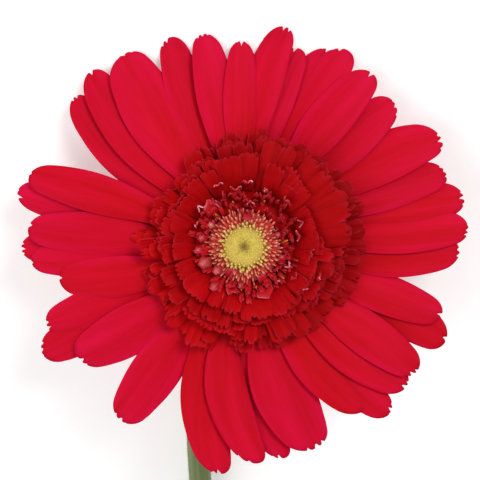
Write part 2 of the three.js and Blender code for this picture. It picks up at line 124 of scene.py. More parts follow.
# The blades' roll over their neighbours, and the azimuths where it turns round, stops and starts again.
RAY_ROLL = 8
RAY_ROLL_SPREAD = 1.5
ROLL_TURNS_AT = 92
ROLL_STOPS_AT = 150
ROLL_STARTS_AT = 198

# ------ ruff of trans florets
# Count, width, and the (radius, height) of the root, the knee and the tip, from the lowest row up.
RUFF_TIERS = [
    (38, 4.0, (11.6, 4.1), (19.5, 3.9), (27.0, 4.9)),
    (36, 4.1, (11.4, 4.5), (18.8, 4.9), (26.0, 6.6)),
    (35, 4.2, (11.3, 4.9), (17.6, 6.6), (24.9, 9.1)),
    (34, 4.3, (11.3, 5.2), (16.8, 8.2), (23.7, 10.7)),
    (33, 4.6, (11.3, 5.9), (15.6, 10.1), (22.6, 12.2)),
    (32, 4.6, (11.4, 6.7), (14.4, 11.9), (21.7, 13.5)),
]
# From the lowest row up: how unlike each other its florets are, how unlike in length its clumps are, and
# how much painted shade darkens it on one side of the head and lightens it on the other.
RUFF_WILDNESS = (1.4, 1.5, 1.4, 1.1, 0.7, 0.5)
RUFF_UNEVENNESS = (0.8, 1.0, 1.4, 1.5, 1.7, 1.7)
RUFF_PAINTED_SHADE = (0.4, 0.4, 0.4, 0.4, 0.16, 0.16)
# Azimuth where the painted shade of the ruff and lips is darkest.
PAINTED_SHADE_AZIMUTH = 30
RUFF_THICKNESS = (0.4, 0.16)
RUFF_REACH = 0.975  # scale of the tips' radii
RUFF_SIDE_REACH = 0.085  # the ruff reaches further on the face's right than on its left
RUFF_OVAL = 0.035  # and further along this slanting line than across it
RUFF_OVAL_AZIMUTH = 35
RUFF_CALM_AZIMUTH = 10  # where the florets are broadest and most alike
RUFF_CALM = 0.6  # how much more alike
RUFF_BREADTH = 0.15  # how much broader
RUFF_TOP_AZIMUTH = 82
RUFF_SHIFTS = (2.2, 2.8, 4.4)  # how far the innermost row's root, knee and tip lean to that azimuth
# Neighbours come in clumps that share a rise and a stretch, stand close and fan out.
RUFF_CLUMP = {"size": (2, 4), "rise": 0.8, "stretch": 0.07, "crowding": 0.15, "fan": 8}
# How far a floret may differ from its clump.
RUFF_SPREAD = {"stretch": 0.045, "rise": 0.45, "lean": 20, "skew": 1.2}
RUFF_WIDTHS = (0.74, 1.24)
RUFF_CUP = (-0.8, 1.3)
RUFF_CURL = (-0.8, 0.9)
# Place of the fold across a floret, and its depth.
RUFF_FOLD = ((-0.5, 0.5), (0.0, 0.3))
RUFF_FOLD_WIDTH = 0.16
# Places of the notches in a tip, and their width and depth as above.
RUFF_NOTCH_PLACES = (-0.55, 0, 0.55)
RUFF_NOTCH = ((0.1, 0.16), (-0.02, 0.09))
# The body that carries the ruff, as radii and heights.
RUFF_CORE = [
    (0, 1.75), (11.4, 1.75), (13.8, 3.6), (13.6, 6.8), (11.4, 8.8), (9.2, 8.6), (9, 6.95), (0, 6.95),
]
# Shorter florets scattered over the inner rows on the right, as unlike each other as those of a lower row.
SHORT_FLORETS = 18
SHORT_ROW = 3
SHORT_AZIMUTHS = (-35, 80)
SHORT_WIDTHS = (3.0, 4.6)
SHORT_ROOT = (11.6, 7.2)  # radius and height
SHORT_KNEE = (14.2, 12.6)
SHORT_TIP = ((14.5, 20), (13.4, 15))
SHORT_FAN = 3
# How much painted shade darkens the short florets on one side of the head.
SHORT_PAINTED_SHADE = 0.05

# Inner lips of the innermost florets: azimuth, root and tip radius, tip height, width, twist in degrees.
LIPS = [
    (239, 8.4, 5.7, 11.4, 1.5, 25),
    (83, 9.6, 6.3, 11.4, 1.7, -15),
    (96, 9.8, 8.3, 11.2, 1.2, 20),
    (299, 9.9, 7.9, 11.8, 2.4, -35),
    (128, 10.2, 14.6, 13.0, 3.2, 8),
    (296, 10.6, 13.6, 13.4, 4.2, 0),
    (254, 9.6, 12.0, 12.4, 2.6, 20),
    (88, 15.2, 15.8, 14.9, 2.4, -18),
    (97.5, 13.6, 14.2, 14.2, 2.7, 10),
    (113.7, 15.8, 16.4, 15.0, 2.2, -6),
    (68, 13.9, 14.5, 14.6, 1.9, -75),
    (79.3, 10.7, 11.2, 13.2, 1.8, -20),
    (45, 14.6, 15.2, 14.9, 3.0, 35),
    (24.8, 14.6, 15.2, 14.9, 2.0, 20),
    (12.3, 12.9, 13.6, 14.2, 2.6, 0),
    (137.3, 14.2, 14.6, 13.4, 1.9, 30),
    (141, 12.6, 13.0, 12.8, 1.6, -20),
    (155.5, 12.4, 12.9, 13.4, 1.9, 40),
    (354, 15.6, 16.3, 14.6, 2.2, 30),
    (329, 14.0, 14.6, 14.2, 2.8, -65),
    (314, 11.2, 11.9, 13.0, 1.5, -30),
    (339.7, 11.4, 12.0, 13.0, 2.2, 50),
    (338.9, 18.6, 19.5, 14.8, 2.8, -70),
    (327, 17.4, 18.2, 14.6, 2.6, -60),
]
LIP_ROOT_HEIGHT = 7.6
PALE_LIP_THICKNESS = (0.42, 0.26)
# How much painted shade darkens the pale lips on one side of the head.
PALE_LIP_PAINTED_SHADE = 0.15
SMALL_LIPS = 140
# Limits of the root's radius, the reach from there, the tip's height, the width and the twist.
SMALL_LIP = ((8.9, 11.4), (-0.8, 2.8), (9.8, 12.2), (0.6, 1.8), (-90, 90))
SMALL_LIP_SHIFT = 1.8  # how much further out the roots go at the top of the head
SMALL_LIP_SLOPE = 0.4  # how much higher the outer ones stand
SMALL_LIP_THICKNESS = (0.34, 0.2)
# How much painted shade darkens the small lips on one side of the head.
SMALL_LIP_PAINTED_SHADE = 0.3
BERRY_AZIMUTH = 200  # where round buds take the place of most small lips
BERRY_SIDE = 0.7  # cosine of half the angle that they take up
BERRY_SHARE = 0.6  # of the small lips, left out there
# Thin pale strands that lie outwards between the buds.
STRANDS = 46
STRAND = ((7.6, 9.6), (2.0, 3.6), (10.2, 11.6), (0.5, 0.9), (-30, 30))
STRAND_AZIMUTHS = (120, 345)
STRAND_THICKNESS = (0.3, 0.2)

# Unopened florets between the disc and the ruff: azimuth, radius, width and how pale, 0 to 1.
BERRIES = [
    (201.8, 10.1, 4.1, 0.3),
    (221, 8.2, 3.0, 0.5),
    (233, 11.0, 3.4, 0.05),
    (146, 9.7, 2.6, 0.9),
    (184, 10.4, 3.0, 0.05),
    (168, 10.6, 2.8, 0.1),
    (265, 9.0, 2.4, 0.35),
    (20, 8.8, 2.2, 0.3),
    (345, 9.4, 2.0, 0.2),
]
BERRY_LENGTH = (1.3, 1.6)  # as a share of the width
BERRY_BASE = 8.2
# Anther tubes: azimuth, radius and height of the tip.
ANTHERS = [
    (104, 11.3, 11.8),
    (131, 10.5, 11.4),
    (286.6, 10.2, 11.8),
    (266.5, 10.4, 11.3),
    (322, 12.1, 12.6),
    (9, 10.6, 11.8),
    (66, 12.2, 12.8),
]
ANTHER_LENGTH = 3.8
ANTHER_DEPTH = 3.6  # of a tube's foot below its tip

# ------ disc, involucre and stem
CENTRE_RADIUS = 5.25
CENTRE_BASE = 9.1
# The dome with its dimple: steps in from the centre's radius, then radii, each with a height.
CENTRE_SHOULDER = [(0.5, 0), (0.2, 0.5), (0.8, 1.1)]
CENTRE_TOP = [(3.0, 1.35), (1.5, 1.2), (0.7, 0.8), (0, 0.6)]
CENTRE_FLORETS = 150
GOLDEN_ANGLE = 137.508
# The bed that the buds stand in, as radii and heights.
DISC_BED = [(0, 7.35), (8.6, 7.35), (8.7, 8.1), (5.6, 8.75), (0, 8.78)]
# Count, radius and outward lean of the rings of small closed buds round the yellow centre.
BUD_RINGS = [(40, 5.6, 22), (42, 6.3, 32), (42, 7.0, 42), (42, 7.6, 52), (38, 8.1, 60)]
BUD_BASE = 8.3
BUD_LENGTH = (2.1, 2.9)
BUD_WIDTH = (0.5, 0.8)
INVOLUCRE_DEPTH = 13
INVOLUCRE_TOP = -1.6
RECEPTACLE_RADIUS = 12.3
# Count, length, width, height of the root and how far the tip stands off.
BRACT_ROWS = [(13, 6.5, 2.9, -11.2, 0.6), (16, 8.0, 3.1, -9.0, 0.9), (20, 9.0, 3.3, -6.9, 1.1)]
BRACT_THICKNESS = (0.5, 0.12)
STEM_ROUTE = [
    (3.4, 23, 4.3),
    (8.2, 38, 4.6),
    (11.9, 57, 5.2),
    (12.0, 72, 5.6),
    (10.6, 92, 6.0),
    (6.6, 125, 6.2),
    (2.4, 165, 6.0),
    (0.4, 205, 5.4),
    (1.6, 245, 4.6),
    (5.6, 285, 3.9),
    (9.6, 314, 3.45),
]
STEM_RADII = {"top": 4.3, "neck": 3.0, "cut": 3.45}
NECK_LENGTH = 14
CUT_ANGLE = math.radians(42)
CUT_STEP = 3.2
CUT_RUN = 9
# The cut face, as shares of the stem's radius and heights.
CUT_FACE = [(0.9, 0.04), (0.62, -0.1), (0.3, -0.35), (0.02, -0.4)]
STEM_SIDES = 36
STEM_STEPS = 14  # between two points of the route
STEM_INSET = 0.98  # share of the solid stem's radius, which leaves room for the down
STEM_HAIRS = 2600
HAIR_LENGTH = (0.35, 0.75)
HAIR_WIDTH = 0.07
HAIR_ROOTS = 0.97  # share of the solid stem's radius
HAIRS_END = 16  # distance from the cut
HAIRS_LOWEST = 0.8  # height above the surface

# ------ camera, lights and floor
PHOTO_SIZE = 480
MM_PER_PIXEL = 0.2455
CAMERA_DISTANCE = 600
EYE_PIXEL = (244, 247)
# Place in the head's frame, size in metres and power.
KEY_LIGHT = ((420, 325, 1180), 0.4, 7.4)
FILL_LIGHT = ((-600, -300, 700), 0.8, 3.7)
ROOM_LIGHT = 0.44
FLOOR_EDGE = 6.0
FLOOR_WHITE = (0.95, 0.95, 0.95, 1)
FLOOR_GLOW = 0.3


# ------ mesh building
def smooth(x):
    """A smooth step from 0 to 1."""
    x = np.clip(x, 0, 1)
    return x * x * (3 - 2 * x)


def to_world(points):
    """Points of the head's frame, in millimetres, as points of the scene."""
    return (points @ TO_WORLD + np.array(HEAD_CENTRE)) * MM


def in_metres(points):
    return points * MM


def grid_quads(index):
    """The quads between neighbouring rows and columns of a grid of point numbers."""
    return np.stack([index[:-1, :-1], index[1:, :-1], index[1:, 1:], index[:-1, 1:]], -1).reshape(-1, 4)


def placed(name, data):
    """A new object of the scene."""
    made = bpy.data.objects.new(name, data)
    bpy.context.scene.collection.objects.link(made)
    return made


class Surface:
    """Gathers closed pieces into one mesh, with what the materials read at each point."""

    def __init__(self):
        self.points = []
        self.faces = []
        self.values = {"along": [], "across": [], "shade": [], "under": []}
        self.count = 0

    def add(self, points, faces, along, across, shade, under=0.0):
        self.points.append(points)
        self.faces.extend((np.asarray(face) + self.count).tolist() for face in faces)
        for kept, value in zip(self.values.values(), (along, across, shade, under)):
            kept.append(np.broadcast_to(value, len(points)))
        self.count += len(points)

    def sheet(self, middle, s, c, thickness, shade):
        """A closed thin sheet round the middle surface, thinner towards its edges."""
        body, edge = thickness
        along, across = np.meshgrid(s, c, indexing="ij")
        centre = middle(along, across)
        normal = np.cross(np.gradient(centre, axis=0), np.gradient(centre, axis=1))
        normal /= np.linalg.norm(normal, axis=2, keepdims=True) + 1e-12
        inside = np.clip(1 - np.abs(across) ** 6, 0, 1) * smooth((1 - along) / 0.06)
        half = normal * (edge + (body - edge) * inside)[..., None] / 2
        points = np.concatenate([(centre + half).reshape(-1, 3), (centre - half).reshape(-1, 3)])
        size = along.size
        top = np.arange(size).reshape(along.shape)
        rim = np.concatenate([top[:, 0], top[-1, 1:], top[-2::-1, -1], top[0, -2:0:-1]])
        after = np.roll(rim, -1)
        wall = np.stack([after, rim, rim + size, after + size], 1)
        faces = np.concatenate([grid_quads(top), grid_quads(top + size)[:, ::-1], wall])
        under = np.repeat([0.0, 1.0], size)
        along, across = np.tile(along.ravel(), 2), np.tile(across.ravel(), 2)
        self.add(to_world(points), faces, along, across, shade, under)

    def rings(self, rings, along, shade):
        """A closed body through rings of points, with each ring's place along it and its shade."""
        sides = len(rings[0])
        index = np.arange(len(rings) * sides).reshape(len(rings), sides)
        wall = grid_quads(np.concatenate([index, index[:, :1]], 1))[:, ::-1]
        around = np.linspace(-1, 1, sides, endpoint=False)
        faces = [*wall, index[0, ::-1], index[-1]]
        shades = np.repeat(np.broadcast_to(shade, len(rings)), sides)
        across = np.tile(around, len(rings))
        self.add(np.concatenate(rings), faces, np.repeat(along, sides), across, shades)

    def turned(self, profile, shade, sides=48):
        """A solid of revolution round the head's axis, from (radius, height) points going up."""
        radii, heights = np.maximum(np.array(profile, float).T, [[0.01], [-np.inf]])
        lengths = np.concatenate([[0], np.cumsum(np.hypot(np.diff(radii), np.diff(heights)))])
        turn = np.linspace(0, 2 * math.pi, sides, endpoint=False)
        circle = np.stack([np.cos(turn), np.sin(turn), 0 * turn], 1)
        loops = [to_world(circle * r + np.array([0, 0, z])) for r, z in zip(radii, heights)]
        self.rings(loops, lengths / lengths[-1], shade)

    def bud(self, base, axis, length, width, shade, rings=7, sides=8, lobes=0.0, world=to_world):
        """A slim closed bud that stands on its base point along an axis, with five faint lobes."""
        axis = Vector(axis).normalized()
        side = axis.orthogonal().normalized()
        other = axis.cross(side)
        turn = np.linspace(0, 2 * math.pi, sides, endpoint=False)
        stations = np.linspace(0, 1, rings)
        loops = []
        for t in stations:
            radius = width / 2 * math.sqrt(max(1e-4, 1 - (1.9 * t - 0.93) ** 2)) * (1 - 0.1 * t)
            radius = radius * (1 + lobes * np.cos(5 * turn))
            centre = np.array(base) + np.array(axis) * length * t
            loop = centre + np.outer(radius * np.cos(turn), side)
            loops.append(world(loop + np.outer(radius * np.sin(turn), other)))
        self.rings(loops, stations, shade)

    def make(self, name, material, slot, *nodes):
        """The gathered mesh as a piece of the flower, which may stand in for nodes of the solids."""
        mesh = bpy.data.meshes.new(name)
        mesh.from_pydata(np.concatenate(self.points).tolist(), [], self.faces)
        for key, parts in self.values.items():
            mesh.attributes.new(key, "FLOAT", "POINT").data.foreach_set("value", np.concatenate(parts))
        mesh.shade_smooth()
        mesh.materials.append(material)
        made = placed(name, mesh)
        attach(made, "root")
        if nodes:
            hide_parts(*nodes)


def round_the_axis(radius, side, height, angle):
    """A point at a radius along an azimuth, a step to its side and a height."""
    x = radius * np.cos(angle) - side * np.sin(angle)
    y = radius * np.sin(angle) + side * np.cos(angle)
    return np.stack(np.broadcast_arrays(x, y, height), axis=-1)


def soft_floor(height, floor):
    """Keeps a height above a floor, with a soft turn where it comes near."""
    softness = 0.5
    return floor + softness * np.logaddexp(0, (height - floor) / softness)


def surface_under(y):
    """The height of the supporting surface in the head's frame."""
    return (y * math.sin(HEAD_TILT) - HEAD_CENTRE.z) / math.cos(HEAD_TILT)


def bezier(points, t):
    """The curve between the outer two of three (x, y) points, drawn towards the inner one."""
    (x0, y0), (x1, y1), (x2, y2) = points
    u = 1 - t
    return u * u * x0 + 2 * u * t * x1 + t * t * x2, u * u * y0 + 2 * u * t * y1 + t * t * y2


def place(radius, azimuth, height):
    """The point at a radius, an azimuth in degrees and a height."""
    angle = math.radians(azimuth)
    return np.array([radius * math.cos(angle), radius * math.sin(angle), height])


def outward(azimuth, lean):
    """An axis that leans outwards by an angle from the head's own, in degrees."""
    return place(math.sin(math.radians(lean)), azimuth, math.cos(math.radians(lean)))


def spaced(i, count, row, play, rng):
    """The azimuth of one of a row, in degrees. Every other row is turned by half a step."""
    return (i + 0.5 * (row % 2) + rng.uniform(-play, play)) * 360 / count


def notched(c, notches):
    """How deep the notches, each with its place, width and depth, cut in at a place across a blade."""
    return sum(max(0, depth) * np.exp(-(((c - at) / wide) ** 2)) for at, wide, depth in notches)


def round_end(c):
    """0 in the middle of a blade's end and nearly 1 at its corners."""
    return 1 - np.sqrt(1 - 0.999 * c * c)


# ------ ray florets
def ray_shape(s, claw):
    """Half width along a ray floret as a share of its greatest: a narrow claw, then a strap."""
    to_widest = claw + (1 - claw) * np.sin(math.pi / 2 * np.minimum(s / RAY_WIDEST_AT, 1)) ** RAY_SWELL
    to_tip = np.maximum(s - RAY_WIDEST_AT, 0) / (1 - RAY_WIDEST_AT)
    return to_widest - RAY_TIP_NARROWING * to_tip**2


def ray_roll(azimuth):
    """The angle by which the blade at an azimuth is rolled, in degrees."""
    if ROLL_TURNS_AT < azimuth < ROLL_STOPS_AT:
        return RAY_ROLL
    if ROLL_STOPS_AT <= azimuth < ROLL_STARTS_AT:
        return 0
    return -RAY_ROLL


def ray_middle(floret, rng):
    """A blade that rises from its root, falls to its tip and stays above the surface."""
    azimuth, reach, width, sweep, lift = floret
    length = reach - RAY_ROOT_RADIUS
    fall = (RAY_RISE * length + RAY_TIP_FALL) / length**2
    lean = math.tan(math.radians(ray_roll(azimuth) + rng.uniform(-RAY_ROLL_SPREAD, RAY_ROLL_SPREAD)))
    split = rng.uniform(-0.3, 0.3)
    wide, depth = RAY_NOTCH
    side_wide, side_depth = RAY_SIDE_NOTCH
    notches = [
        (split, wide, rng.uniform(*depth)),
        (split + 0.3, side_wide, rng.uniform(*side_depth)),
        (split - rng.uniform(0.2, 0.4), side_wide, rng.uniform(*side_depth)),
    ]
    slant = rng.uniform(-RAY_TIP_SLANT, RAY_TIP_SLANT)
    claw = rng.uniform(*RAY_CLAW)
    wave, phase = rng.uniform(*RAY_WAVE_HEIGHT), rng.uniform(0, 2 * math.pi)
    folds = [[rng.uniform(*limits) for limits in RAY_FOLD] for _ in range(2)]

    def middle(s, c):
        drawn_back = RAY_TIP_ROUND * length * round_end(c) + slant * c
        x = (length - drawn_back - notched(c, notches)) * s
        half = width / 2 * ray_shape(s, claw)
        angle = np.radians(azimuth + sweep * (np.maximum(x, 0) / length) ** 1.5)
        points = round_the_axis(RAY_ROOT_RADIUS + x, c * half, 0 * x, angle)
        free = RAY_LIFT_AT_ROOT + (1 - RAY_LIFT_AT_ROOT) * smooth(x / (RAY_LIFT_FULL_AT * length))
        ribs = RAY_RIB_HEIGHT * np.cos(RAY_RIBS * math.pi * c) * smooth(s / 0.4) * smooth((1 - s) / 0.2)
        waves = wave * np.sin(2 * RAY_WAVES * math.pi * s + phase + 0.8 * c) * s
        creases = sum(tall * np.exp(-(((c - at) / wide) ** 2)) for at, wide, tall in folds)
        arch = RAY_RISE * x - fall * x * x
        tilt = lift * RAY_LIFT + c * half * lean - RAY_CAMBER * c * c
        height = arch + free * tilt + ribs + waves + creases
        clearance = SURFACE_CLEARANCE * (np.abs(c) if azimuth in RESTING_RAYS else 1) + RAY_THICKNESS[0] / 2
        points[..., 2] = soft_floor(height, surface_under(points[..., 1]) + clearance)
        return points

    return middle


def make_ray_florets(material):
    rng = random.Random(SEED)
    steps = np.linspace(-1, 1, 37)
    across = 0.6 * steps + 0.4 * np.sin(math.pi / 2 * steps)
    along = np.linspace(0, 1, 30)
    surface = Surface()
    for floret in RAY_FLORETS:
        surface.sheet(ray_middle(floret, rng), along, across, RAY_THICKNESS, rng.random())
    edge = RECEPTACLE_RADIUS
    surface.turned([(0, -1.25), (edge - 0.6, -1.25), (edge, 0), (edge - 0.8, 1.35), (0, 1.35)], 0.5)
    surface.make("ray_petals", material, "ray_petal", "ray_florets")


# ------ trans florets
def clumps(count, rng):
    """A rise, a stretch and a place for each floret of a row, the first two shared by a few neighbours."""
    rise, stretch = RUFF_CLUMP["rise"], RUFF_CLUMP["stretch"]
    shared = []
    while len(shared) < count:
        size = rng.randint(*RUFF_CLUMP["size"])
        clump = rng.uniform(-rise, rise), rng.uniform(-stretch, stretch)
        shared.extend((*clump, k - (size - 1) / 2) for k in range(size))
    return shared[:count]


def tone_with_painted_shade(azimuth, painted_shade, rng):
    """How light a floret is, from 0 to 1: a random tone, with painted shade that darkens those on one side
    of the head.
    """
    side = math.cos(math.radians(azimuth - PAINTED_SHADE_AZIMUTH))
    return min(1, max(0, 0.5 - painted_shade * side + rng.uniform(-0.12, 0.12)))


def ruff_reach(row, angle):
    """The ruff's reach at an angle, and how far out a row's root, knee and tip are shifted there."""
    oval = RUFF_OVAL * math.cos(2 * (angle - math.radians(RUFF_OVAL_AZIMUTH)))
    upper = row / (len(RUFF_TIERS) - 1) * math.cos(angle - math.radians(RUFF_TOP_AZIMUTH))
    return RUFF_REACH + RUFF_SIDE_REACH * math.cos(angle) + oval, [shift * upper for shift in RUFF_SHIFTS]


def trans_middle(tier, row, azimuth, clump, rng):
    """A short strap that rises over its knee, with what sets it apart from its neighbours."""
    _, width, root, knee, tip = tier
    clump_rise, clump_stretch, place_in_clump = clump
    angle = math.radians(azimuth)
    calm = math.cos(angle - math.radians(RUFF_CALM_AZIMUTH))
    wild = (1 - RUFF_CALM * calm) * RUFF_WILDNESS[row]

    def vary(key):
        return rng.uniform(-RUFF_SPREAD[key], RUFF_SPREAD[key]) * wild

    reach, (root_shift, knee_shift, tip_shift) = ruff_reach(row, angle)
    stretch = reach + RUFF_UNEVENNESS[row] * clump_stretch + vary("stretch")
    half = width / 2 * rng.uniform(*RUFF_WIDTHS) * (1 + RUFF_BREADTH * calm)
    rise = clump_rise + vary("rise")
    lean = math.tan(math.radians(vary("lean") - RUFF_CLUMP["fan"] * place_in_clump))
    skew = vary("skew")
    cup, curl = rng.uniform(*RUFF_CUP), rng.uniform(*RUFF_CURL)
    fold_at, fold_depth = (rng.uniform(*limits) for limits in RUFF_FOLD)
    split = rng.uniform(-0.25, 0.25)
    notches = [(split + at, *(rng.uniform(*limits) for limits in RUFF_NOTCH)) for at in RUFF_NOTCH_PLACES]
    sink = 0.5 * max(0, tip_shift)
    path = [
        (root[0] + root_shift, root[1]),
        (knee[0] + knee_shift, knee[1] + rise),
        ((tip[0] + tip_shift) * stretch, tip[1] + rise - sink),
    ]

    def middle(s, c):
        t = s * (1 - notched(c, notches) - 0.1 * round_end(c))
        radius, height = bezier(path, t)
        side = c * half * (0.5 + 0.5 * np.sin(math.pi / 2 * np.minimum(1, s / 0.8)))
        side = side + skew * s * s
        crease = -fold_depth * np.exp(-(((c - fold_at) / RUFF_FOLD_WIDTH) ** 2)) * s
        bend = cup * c * c * s + lean * c * half * s - curl * np.maximum(0, t - 0.72) ** 2 * 12
        return round_the_axis(radius, side, height + bend + crease, angle)

    return middle


def make_trans_florets(material):
    rng = random.Random(SEED + 31)
    along = 1 - (1 - np.linspace(0, 1, 14)) ** 1.2
    steps = np.linspace(-1, 1, 21)
    across = 0.5 * steps + 0.5 * np.sin(math.pi / 2 * steps)
    surface = Surface()

    def add_floret(tier, row, azimuth, clump, painted_shade):
        middle = trans_middle(tier, row, azimuth, clump, rng)
        surface.sheet(middle, along, across, RUFF_THICKNESS, tone_with_painted_shade(azimuth, painted_shade, rng))

    for row, tier in enumerate(RUFF_TIERS):
        for i, clump in enumerate(clumps(tier[0], rng)):
            azimuth = spaced(i - RUFF_CLUMP["crowding"] * clump[2], tier[0], row, 0.3, rng)
            add_floret(tier, row, azimuth, clump, RUFF_PAINTED_SHADE[row])
    for _ in range(SHORT_FLORETS):
        azimuth = rng.uniform(*SHORT_AZIMUTHS)
        width = rng.uniform(*SHORT_WIDTHS)
        tip = [rng.uniform(*limits) for limits in SHORT_TIP]
        tier = (0, width, SHORT_ROOT, SHORT_KNEE, tip)
        add_floret(tier, SHORT_ROW, azimuth, (0, 0, rng.uniform(-SHORT_FAN, SHORT_FAN)), SHORT_PAINTED_SHADE)
    surface.turned(RUFF_CORE, 0.5)
    surface.make("ruff_petals", material, "ruff_petal", "trans_florets")


def lip_middle(azimuth, root, tip, height, width, twist, rng):
    """A narrow crinkled lip that stands up from its root, its tip curled."""
    angle = math.radians(azimuth)
    path = [(root, LIP_ROOT_HEIGHT), (root + 0.35 * (tip - root), height + 0.6), (tip, height)]
    curl = rng.uniform(-0.3, 1.2)
    cup = rng.uniform(-0.35, 0.5)
    ripple, phase = rng.uniform(0.1, 0.4), rng.uniform(0, 6)
    skew = rng.uniform(-0.5, 0.5)

    def middle(s, c):
        frill = 0.04 * np.exp(-(((c - skew) / 0.2) ** 2)) + 0.02 * np.sin(5 * c + phase)
        t = s * (0.95 - 0.1 * round_end(c) - frill)
        radius, rise = bezier(path, t)
        half = c * width / 2 * (0.5 + 0.5 * np.sin(math.pi / 2 * np.minimum(1, s / 0.7)))
        turn = np.radians(twist) * s
        rise = rise + half * np.sin(turn) - curl * np.maximum(0, t - 0.75) ** 2 * 10
        rise = rise + 0.5 * ripple * np.sin(4 * c + 3 * s + phase) * s
        radius = radius - cup * width * c * c * s + ripple * np.cos(4.5 * c + phase) * s
        return round_the_axis(radius, half * np.cos(turn) + skew * s, rise, angle)

    return middle


def drawn_lip(limits, rng, shift=0, slope=0):
    """Root and tip radius, tip height, width and twist of a lip, drawn between limits."""
    (nearest, furthest), reach, heights, widths, twists = limits
    root = rng.uniform(nearest, furthest + shift)
    tip = root + rng.uniform(*reach)
    height = rng.uniform(*heights) + slope * (root - nearest)
    return root, tip, height, rng.uniform(*widths), rng.uniform(*twists)


def make_lips(pale_material, material):
    rng = random.Random(SEED + 6)
    along = np.linspace(0, 1, 12)
    across = np.linspace(-1, 1, 11)
    surface = Surface()
    for lip in LIPS:
        middle = lip_middle(*lip, rng)
        shade = tone_with_painted_shade(lip[0], PALE_LIP_PAINTED_SHADE, rng)
        surface.sheet(middle, along, across, PALE_LIP_THICKNESS, shade)
    surface.make("pale_lips", pale_material, "ruff_petal")
    surface = Surface()
    for i in range(SMALL_LIPS):
        azimuth = spaced(i, SMALL_LIPS, 0, 0.4, rng)
        by_berries = math.cos(math.radians(azimuth - BERRY_AZIMUTH)) > BERRY_SIDE
        if by_berries and rng.random() < BERRY_SHARE:
            continue
        shift = SMALL_LIP_SHIFT * max(0, math.cos(math.radians(azimuth - RUFF_TOP_AZIMUTH)))
        middle = lip_middle(azimuth, *drawn_lip(SMALL_LIP, rng, shift, SMALL_LIP_SLOPE), rng)
        shade = tone_with_painted_shade(azimuth, SMALL_LIP_PAINTED_SHADE, rng)
        surface.sheet(middle, along, across, SMALL_LIP_THICKNESS, shade)
    for _ in range(STRANDS):
        middle = lip_middle(rng.uniform(*STRAND_AZIMUTHS), *drawn_lip(STRAND, rng), rng)
        surface.sheet(middle, along, across, STRAND_THICKNESS, rng.uniform(0.7, 1))
    surface.make("inner_lips", material, "ruff_petal")


# ------ disc
def make_disc_bed(material):
    surface = Surface()
    surface.turned(DISC_BED, 0.5)
    surface.make("disc_bed", material, "bud", "disc_florets")


def make_disc_buds(material):
    rng = random.Random(SEED + 2)
    surface = Surface()
    for ring, (count, radius, lean) in enumerate(BUD_RINGS):
        for i in range(count):
            azimuth = spaced(i, count, ring, 0.3, rng)
            base = place(radius - 0.9 + rng.uniform(-0.25, 0.25), azimuth, BUD_BASE - 0.12 * ring)
            axis = outward(azimuth + rng.uniform(-10, 10), lean + rng.uniform(-10, 10))
            outer = (ring + rng.uniform(-0.7, 0.7)) / (len(BUD_RINGS) - 1)
            length, width = rng.uniform(*BUD_LENGTH), rng.uniform(*BUD_WIDTH)
            surface.bud(base, axis, length, width, max(0, min(1, outer)), rings=9)
    surface.make("disc_buds", material, "bud", "disc_florets")


def make_berries(material):
    rng = random.Random(SEED + 7)
    surface = Surface()
    for azimuth, radius, width, pale in BERRIES:
        axis = outward(azimuth, rng.uniform(5, 25))
        base = place(radius - 0.4, azimuth, BERRY_BASE)
        length = width * rng.uniform(*BERRY_LENGTH)
        surface.bud(base, axis, length, width * 0.85, pale, rings=14, sides=30, lobes=0.1)
    surface.make("round_buds", material, "bud")


def make_anthers(material):
    rng = random.Random(SEED + 8)
    surface = Surface()
    for azimuth, radius, height in ANTHERS:
        lean = rng.uniform(8, 35)
        axis = outward(azimuth + rng.uniform(-20, 20), lean)
        base = place(radius, azimuth, height) - axis * ANTHER_DEPTH
        width, shade = rng.uniform(0.6, 0.8), rng.random()
        surface.bud(base, axis, ANTHER_LENGTH, width, shade, rings=9, sides=10)
    surface.make("anther_tubes", material, "yellow_centre")


def make_centre(material):
    rng = random.Random(SEED + 3)
    surface = Surface()
    dome = [(0, 0), *((CENTRE_RADIUS - step, height) for step, height in CENTRE_SHOULDER), *CENTRE_TOP]
    shares = [radius / CENTRE_RADIUS for radius, _ in dome]
    surface.turned([(radius, CENTRE_BASE + height) for radius, height in dome], shares)
    for i in range(CENTRE_FLORETS):
        share = math.sqrt((i + 0.5) / CENTRE_FLORETS)
        radius = (CENTRE_RADIUS - 0.1) * share
        dimple = math.exp(-((radius / 1.0) ** 2))
        lean = 4 + 44 * share**2 - 30 * dimple
        height = CENTRE_BASE + 0.55 - 0.5 * share**4 - 0.5 * dimple
        tall = 1.05 + 0.7 * share**3 + rng.uniform(-0.15, 0.15)
        azimuth = i * GOLDEN_ANGLE + rng.uniform(-6, 6)
        axis = outward(azimuth, lean)
        base = place(radius, azimuth, height)
        surface.bud(base, axis, tall, 0.5 + 0.3 * share, share, rings=6, sides=7)
    surface.make("yellow_florets", material, "yellow_centre", "disc_centre")


# ------ involucre
def receptacle_radius(height):
    """The green cup's radius at a height."""
    share = np.clip((height + INVOLUCRE_DEPTH) / (INVOLUCRE_DEPTH + INVOLUCRE_TOP), 0, 1)
    top = STEM_RADII["top"]
    return top + (RECEPTACLE_RADIUS - 0.5 - top) * np.sin(share * math.pi / 2) ** 0.8


def bract_middle(row, azimuth, rng):
    """A pointed leaf with a keel, which lies against the cup and stands off at its tip."""
    _, length, width, start, stand = row
    angle = math.radians(azimuth)
    stand = stand + rng.uniform(-0.15, 0.25)
    length = length * rng.uniform(0.93, 1.05)
    width = width * rng.uniform(0.9, 1.1)

    def middle(s, c):
        height = start + length * s * 0.86
        radius = receptacle_radius(height) - 0.15 + stand * s * s + 0.3 * s - 0.12 * c * c
        radius = radius + 0.12 * np.exp(-((c / 0.18) ** 2))
        side = c * (width / 2 * (1 - s) ** 0.6 * (0.85 + 0.6 * s) + 0.12)
        return round_the_axis(radius, side, np.minimum(height, -1.95 - 0.2 * s), angle)

    return middle


